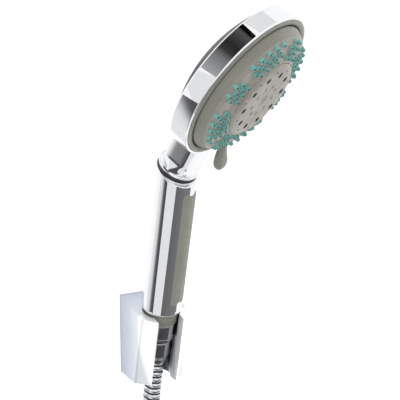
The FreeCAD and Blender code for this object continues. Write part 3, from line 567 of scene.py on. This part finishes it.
TAIL_BORE, TAIL_FOOT = 10.5, -16.2
TAIL_CONE = rounded([(TAIL_BORE, TAIL_FOOT), (12.1, TAIL_FOOT), (12.16, -15.0), (11.85, -14.85),
                     (11.85, -14.55), (12.2, -14.4), (12.28, -13.0), (11.95, -12.85), (11.95, -12.55),
                     (12.33, -12.4), (12.8, HANDLE_FOOT), (TAIL_BORE, HANDLE_FOOT)],
                    [0, 0.3, 0.1, 0.05, 0.05, 0.1, 0.1, 0.05, 0.05, 0.1, 0.0, 0], 3)

piece("handle_tube", handle_mesh(), IN_HANDSET, "handset", CHROME, ["handle_shell"])
piece("grip_strip", grip_mesh(), IN_HANDSET, "handset", GRIP_RUBBER, ["grip_insert"],
      sharp=50.0)
piece("collar_ring", collar_mesh(), IN_NECK, "handset", [CHROME, DARK_PLASTIC_AND_SHADE], ["neck_collar"])
piece("tail_cone", lathe(TAIL_CONE, 120), IN_HANDSET, "handset", GREY_PLASTIC, ["tail_collar"])


# ---- head, fixed parts ---------------------------------------------------------------------
BAND_BACK = -14.5
HEAD_RADIUS, BAND_INNER = 57.0, 55.3
DOME_HEIGHT = 16.0
DOME_SPHERE = (BAND_INNER ** 2 + DOME_HEIGHT ** 2) / (2 * DOME_HEIGHT)
DOME_EDGE = BAND_INNER + 0.7     # inside the band's wall
DOME_FOOT = BAND_BACK + 2.0
NECK_ROUND = 14.0                # half the neck's width at the collar, where it is round
NECK_HALF_WIDTH, NECK_HALF_DEPTH, NECK_POWER = 12.6, 11.4, 5.5     # where it is squarest
NECK_SHIFT = 1.2                 # its middle's step towards the face
NECK_STOP = 52.0                 # it ends this far from the head's axis
NECK_IN_DOME, NECK_END_IN_DOME = 12.0, 14.0     # its radius in the dome, and its end below the axis
BLEND = 7.0                      # of dome into neck
LOWEST, HIGHEST = -34.0, BAND_BACK + 6.0        # the search for the back's height
SEARCH_STEPS, HALVINGS = 60, 18
BACK_LIMIT = BAND_BACK + 0.4     # the back's edge is no further into the band than this


def soft_minimum(a, b, blend):
    """The smaller of two distances, rounded off where they are nearly equal."""
    share = max(blend - abs(a - b), 0.0) / blend
    return min(a, b) - share * share * blend / 4


def outside_back(x, y, z):
    """How far a point is outside the head's back, where the dome and the neck run together."""
    dome_centre = BAND_BACK - DOME_HEIGHT + DOME_SPHERE
    to_dome = math.sqrt(x * x + y * y + (z - dome_centre) ** 2) - DOME_SPHERE
    to_neck = math.hypot(x, z + NECK_OFFSET - NECK_SHIFT) - NECK_IN_DOME
    to_neck = math.hypot(max(to_neck, 0.0), max(y + NECK_END_IN_DOME, 0.0)) + min(to_neck, 0.0)
    return soft_minimum(to_dome, to_neck, BLEND)


def back_height(x, y):
    """Height of the head's back, found by steps from below and then by halving."""
    if outside_back(x, y, LOWEST) < 0:
        return LOWEST
    step = (HIGHEST - LOWEST) / SEARCH_STEPS
    z = LOWEST
    while z < HIGHEST and outside_back(x, y, z) > 0:
        z += step
    low, high = z - step, z
    for _ in range(HALVINGS):
        middle = (low + high) / 2
        if outside_back(x, y, middle) > 0:
            low = middle
        else:
            high = middle
    return min(low, BACK_LIMIT)


def dome_mesh():
    """The head's back, closed by a flat disc inside the band."""
    bands = 44
    rings = [[(0.0, 0.0, back_height(0.0, 0.0))]]
    for k in range(1, bands + 1):
        radius = DOME_EDGE * k / bands
        rings.append([(radius * c, radius * s, back_height(radius * c, radius * s)) for c, s in circle(180)])
    rings.append([(x, y, DOME_FOOT) for x, y, z in rings[-1]])
    rings.append([(0.0, 0.0, DOME_FOOT)])
    return skin(rings, False)


def neck_mesh():
    """The neck: round at the collar, squarer towards the head, ending inside it."""
    levels = 24
    start, end = COLLAR_HIGH, NECK_LENGTH - NECK_STOP
    rings = []
    for k in range(levels + 1):
        share = k / levels
        squaring = min(1.0, share * 4.0)
        power = 2.0 + (NECK_POWER - 2.0) * squaring
        half_width = NECK_ROUND + (NECK_HALF_WIDTH - NECK_ROUND) * squaring
        half_depth = NECK_ROUND + (NECK_HALF_DEPTH - NECK_ROUND) * squaring
        ring = []
        for c, s in circle(128):
            reach = 1 / (abs(c) ** power + abs(s) ** power) ** (1 / power)
            ring.append((half_width * reach * c, half_depth * reach * s - NECK_SHIFT * squaring,
                         start + (end - start) * share))
        rings.append(ring)
    return skin(rings, False)


BAND = rounded([(BAND_INNER, BAND_BACK), (HEAD_RADIUS, BAND_BACK), (HEAD_RADIUS, 0.0), (BAND_INNER, 0.0)],
               [0, 1.4, 1.1, 0], 8)
BEZEL = rounded([(51.25, -4.0), (55.25, -4.0), (55.25, 0.3), (52.6, 0.95), (51.25, 0.25)],
                [0, 0, 0.3, 1.0, 0.0], 5)
# A black ring deep in the gap between bezel and plate: painted shade in the gap.
GAP_SHADE_RING = [(49.0, -4.6), (51.5, -4.6), (51.5, -1.5), (50.8, -1.3), (50.35, -1.5), (49.0, -4.2)]

piece("head_back", dome_mesh(), IN_HEAD, "handset", CHROME, ["head_shell"], sharp=40.0)
piece("neck", neck_mesh(), IN_NECK, "handset", CHROME, [], sharp=40.0)
piece("band", lathe(BAND, 256), IN_HEAD, "handset", CHROME, ["head_band"])
piece("bezel", lathe(BEZEL, 256), IN_HEAD, "handset", GREY_PLASTIC, ["bezel_ring"])
# painted shade in the gap between bezel and plate
piece("gap_shade_ring", lathe(GAP_SHADE_RING, 192), IN_HEAD, "handset", BLACK_RUBBER_AND_SHADE, [])


# ---- head, turning face --------------------------------------------------------------------
INSERT_RIM, FACE_EDGE = 29.6, 12.6          # the plate's inner edge: its radius and its height
OUTSIDE = [(50.3, -2.0), (50.3, 1.0), (47.2, 6.9), (43.5, 8.9), (34.5, 10.1), (INSERT_RIM, FACE_EDGE)]
FACE_PLATE = rounded(OUTSIDE + [(INSERT_RIM, 9.0), (41.0, 7.4), (48.0, -2.0)],
                     [0, 1.3, 6.0, 9.0, 8.0, 0.2, 0, 0, 0], 7)
FIELD_RADIUS, FIELD_ABOVE = 46.9, 6.0       # the nozzles' field, which has the lighter grey


def plate_mesh():
    """The domed spray plate, with the field of the nozzles in a second material."""
    bm = lathe(FACE_PLATE, 256)
    for face in bm.faces:
        middle = face.calc_center_median()
        if math.hypot(middle.x, middle.y) < FIELD_RADIUS and middle.z > FIELD_ABOVE:
            face.material_index = 1
    return bm


# Sections of the lever from its root to its tip: y, z, half the width and half the thickness.
LEVER_SECTIONS = ((-46.9, 4.9, 3.1, 2.7), (-49.0, 5.0, 3.2, 2.75), (-51.0, 5.4, 3.5, 2.9),
                  (-53.5, 6.2, 4.1, 3.0), (-56.0, 7.0, 5.0, 3.15), (-58.5, 7.9, 6.0, 3.3),
                  (-60.5, 8.6, 6.5, 3.35), (-62.3, 9.2, 6.5, 3.3), (-64.0, 9.8, 5.8, 3.0),
                  (-65.2, 10.2, 4.6, 2.5), (-66.0, 10.5, 3.0, 1.8), (-66.4, 10.6, 1.4, 0.9))
LEVER_TIP = (0.0, -66.5, 10.62)
LEVER_ROUNDING = 0.8             # 1 is an ellipse, and less is boxier


def lever_mesh():
    """A drop-shaped paddle that stands out from the face and rises towards its tip."""
    rings = []
    for y, z, half_width, half_height in LEVER_SECTIONS:
        rings.append([(half_width * math.copysign(abs(c) ** LEVER_ROUNDING, c), y,
                       z + half_height * math.copysign(abs(s) ** LEVER_ROUNDING, s)) for c, s in circle(32)])
    return skin(rings + [[LEVER_TIP]], False)


NOZZLE = rounded([(0.0, -1.8), (2.2, -1.8), (2.15, -0.7), (1.8, 0.5), (1.4, 1.2), (1.18, 2.1), (0.86, 2.15),
                  (0.78, 1.0), (0.0, 0.9)], [0, 0, 0.4, 0.6, 0.5, 0.12, 0.08, 0, 0], 3)
# Within this radius the tip's hole is painted black: painted shade.
SHADED_HOLE_RADIUS = 0.88
NOZZLE_LEAN = 0.1                # outward, per unit of height
NOZZLE_ROWS = (44.2, 40.3, 36.4, 32.8)
NOZZLE_STEP = 9.6
CLUSTERS, CLUSTER_START, CLUSTER_PITCH = 8, 20.0, 45.0


def face_height(radius):
    """Height of the spray plate's outside, without its roundings."""
    for (r0, z0), (r1, z1) in zip(OUTSIDE[1:], OUTSIDE[2:]):
        if r1 <= radius <= r0:
            return z0 + (z1 - z0) * (r0 - radius) / (r0 - r1)
    return FACE_EDGE


def nozzle_places():
    """Radius and angle of every nozzle: wide and narrow clusters in turn, their rows staggered."""
    for cluster in range(CLUSTERS):
        for row, radius in enumerate(NOZZLE_ROWS):
            count = 5 - row % 2 if cluster % 2 == 0 else 2 + row % 2
            middle = CLUSTER_START + CLUSTER_PITCH * cluster - 90
            for i in range(count):
                yield radius, middle + NOZZLE_STEP * (i - (count - 1) / 2)


def nozzle_set():
    """Short rubber nozzles, each leaning outward a little, with the inside of the hole in each tip painted black
    as painted shade.
    """
    bm = bmesh.new()
    for radius, degrees in nozzle_places():
        a = math.radians(degrees)
        out = Vector((math.cos(a), math.sin(a), 0))
        up = (Vector((0, 0, 1)) + out * NOZZLE_LEAN).normalized()
        across = up.cross(out).normalized()
        base = out * radius + Vector((0, 0, face_height(radius) - 0.1))
        stretches = turned(bm, NOZZLE, base, across, across.cross(up), up, 18)
        for (r, z), faces in zip(NOZZLE, stretches):
            for face in faces:
                # faces inside the tip's hole take the black material: painted shade
                face.material_index = int(z > 0 and r < SHADED_HOLE_RADIUS)
    return bm


JETS, JET_START, JET_CIRCLE = 10, 20.0, 21.2
WELL = [(0.0, 12.3), (2.0, 12.3), (2.1, 14.3), (1.85, 14.3), (1.7, 13.2), (0.0, 13.2)]


def jet_wells():
    """Dark cups behind the massage jets: painted shade in the jets' throats."""
    bm = bmesh.new()
    for i in range(JETS):
        a = math.radians(JET_START + 360 / JETS * i - 90)
        centre = Vector((JET_CIRCLE * math.cos(a), JET_CIRCLE * math.sin(a), 0))
        turned(bm, WELL, centre, Vector((1, 0, 0)), Vector((0, 1, 0)), Vector((0, 0, 1)), 24)
    return bm


piece("face_plate", plate_mesh(), IN_HEAD, "face", [GREY_PLASTIC, INSERT_PLASTIC], ["spray_plate"])
piece("jet_insert", from_cad("massage_insert"), UNCHANGED, "face", INSERT_PLASTIC, ["massage_insert"],
      bevel=0.35)
piece("middle_cap", from_cad("centre_cap"), UNCHANGED, "face", INSERT_PLASTIC, ["centre_cap"],
      bevel=0.3)
piece("lever", lever_mesh(), IN_HEAD, "face", GREY_PLASTIC, ["mode_lever"], sharp=60.0)
piece("nozzles", nozzle_set(), IN_HEAD, "face", [TEAL_RUBBER, BLACK_RUBBER_AND_SHADE], ["nozzle_mat"],
      sharp=50.0)
# Painted shade: dark cups set in the jets' holes.
piece("jet_wells", jet_wells(), IN_HEAD, "face", DARK_PLASTIC_AND_SHADE, [])


# ---- studio --------------------------------------------------------------------------------
SCENE.view_settings.view_transform = "Standard"
world = bpy.data.worlds.new("studio")
world.use_nodes = True
world.node_tree.nodes["Background"].inputs["Color"].default_value = (1.0, 1.0, 1.0, 1.0)
world.node_tree.nodes["Background"].inputs["Strength"].default_value = 1.15
SCENE.world = world

STUDIO_CENTRE = Vector((0.01, -0.08, 0.12))


def glow(name):
    """An emission whose strength is the mesh's own shade attribute."""
    made = bpy.data.materials.new(name)
    made.use_nodes = True
    nodes, links = made.node_tree.nodes, made.node_tree.links
    nodes.clear()
    source = nodes.new("ShaderNodeAttribute")
    source.attribute_name = "shade"
    light = nodes.new("ShaderNodeEmission")
    links.new(source.outputs["Fac"], light.inputs["Strength"])
    links.new(light.outputs["Emission"], nodes.new("ShaderNodeOutputMaterial").inputs["Surface"])
    return made


def card(name, start, end, half_width, shades, distance=2.5):
    """A curved reflection card, seen only in polished surfaces, from one direction to another.

    The shades are (share of the way, brightness) pairs.
    """
    first, last = direction(*start), direction(*end)
    axis = first.cross(last).normalized()
    columns, rows = 40, 9
    bm = bmesh.new()
    grid, brightness = [], []
    for i in range(columns):
        share = i / (columns - 1)
        spoke = on_arc(first, last, share)
        column = []
        for j in range(rows):
            a = math.radians(half_width) * (2 * j / (rows - 1) - 1)
            column.append(bm.verts.new(STUDIO_CENTRE + (spoke * math.cos(a) + axis * math.sin(a)) * distance))
        grid.append(column)
        brightness += [float(np.interp(share, *zip(*shades)))] * rows
    for left, right in zip(grid, grid[1:]):
        for j in range(rows - 1):
            bm.faces.new((left[j], left[j + 1], right[j + 1], right[j]))
    mesh = bpy.data.meshes.new(name)
    bm.to_mesh(mesh)
    bm.free()
    mesh.attributes.new("shade", "FLOAT", "POINT").data.foreach_set("value", brightness)
    mesh.materials.append(glow(name))
    obj = bpy.data.objects.new(name, mesh)
    SCENE.collection.objects.link(obj)
    obj.visible_camera = False
    obj.visible_diffuse = False
    obj.visible_shadow = False


card("card_left", (-87, -40), (-135, -24), 25,
     [(0.0, 0.085), (0.15, 0.09), (0.305, 0.13), (0.34, 0.17), (0.43, 0.35), (0.53, 0.66), (0.67, 0.87),
      (1.0, 0.96)])
card("card_low", (-30, -42), (72, -34), 18, [(0.0, 0.15), (1.0, 0.24)])
card("card_upper", (-69, 20), (24, 76), 16,
     [(0.0, 0.45), (0.05, 0.40), (0.2, 0.285), (0.33, 0.20), (0.46, 0.045), (0.6, 0.026), (0.74, 0.053),
      (0.88, 0.096), (0.92, 0.002), (1.0, 0.002)])
card("card_back", (150, 2), (176, 2), 8, [(0.0, 0.3), (1.0, 0.12)])
card("card_mid", (-63, -78), (-63, 18), 28, [(0.0, 0.93), (1.0, 0.93)], distance=2.6)
card("card_rear", (-138, -44), (-176, -36), 10, [(0.0, 0.93), (1.0, 0.93)], distance=2.6)
card("card_top", (40, 78), (112, 56), 14, [(0.0, 0.92), (1.0, 0.92)], distance=2.6)

FLOOR_HALF, FLOOR_HEIGHT = 12.0, -0.36
floor_mesh = bpy.data.meshes.new("floor")
floor_mesh.from_pydata([(x * FLOOR_HALF, y * FLOOR_HALF, FLOOR_HEIGHT)
                        for x, y in ((-1, -1), (1, -1), (1, 1), (-1, 1))], [], [(0, 1, 2, 3)])
floor_mesh.materials.append(material("floor", (0.93, 0.93, 0.93), 0.9, tint=0.005, grain=0.0, specular=0.0))
floor = bpy.data.objects.new("floor", floor_mesh)
SCENE.collection.objects.link(floor)
floor.visible_glossy = False


def soft_light(name, azimuth, elevation, distance, size, power):
    """A square lamp turned to the studio's centre, which polished surfaces don't show."""
    lamp = bpy.data.lights.new(name, "AREA")
    lamp.size = size
    lamp.energy = power
    obj = bpy.data.objects.new(name, lamp)
    SCENE.collection.objects.link(obj)
    way = direction(azimuth, elevation)
    obj.location = STUDIO_CENTRE + way * distance
    obj.rotation_mode = "QUATERNION"
    obj.rotation_quaternion = way.to_track_quat("Z", "Y")
    obj.visible_glossy = False


soft_light("light_right", 95, 20, 1.6, 1.0, 20.0)
soft_light("light_left", -60, 40, 1.8, 1.2, 10.0)
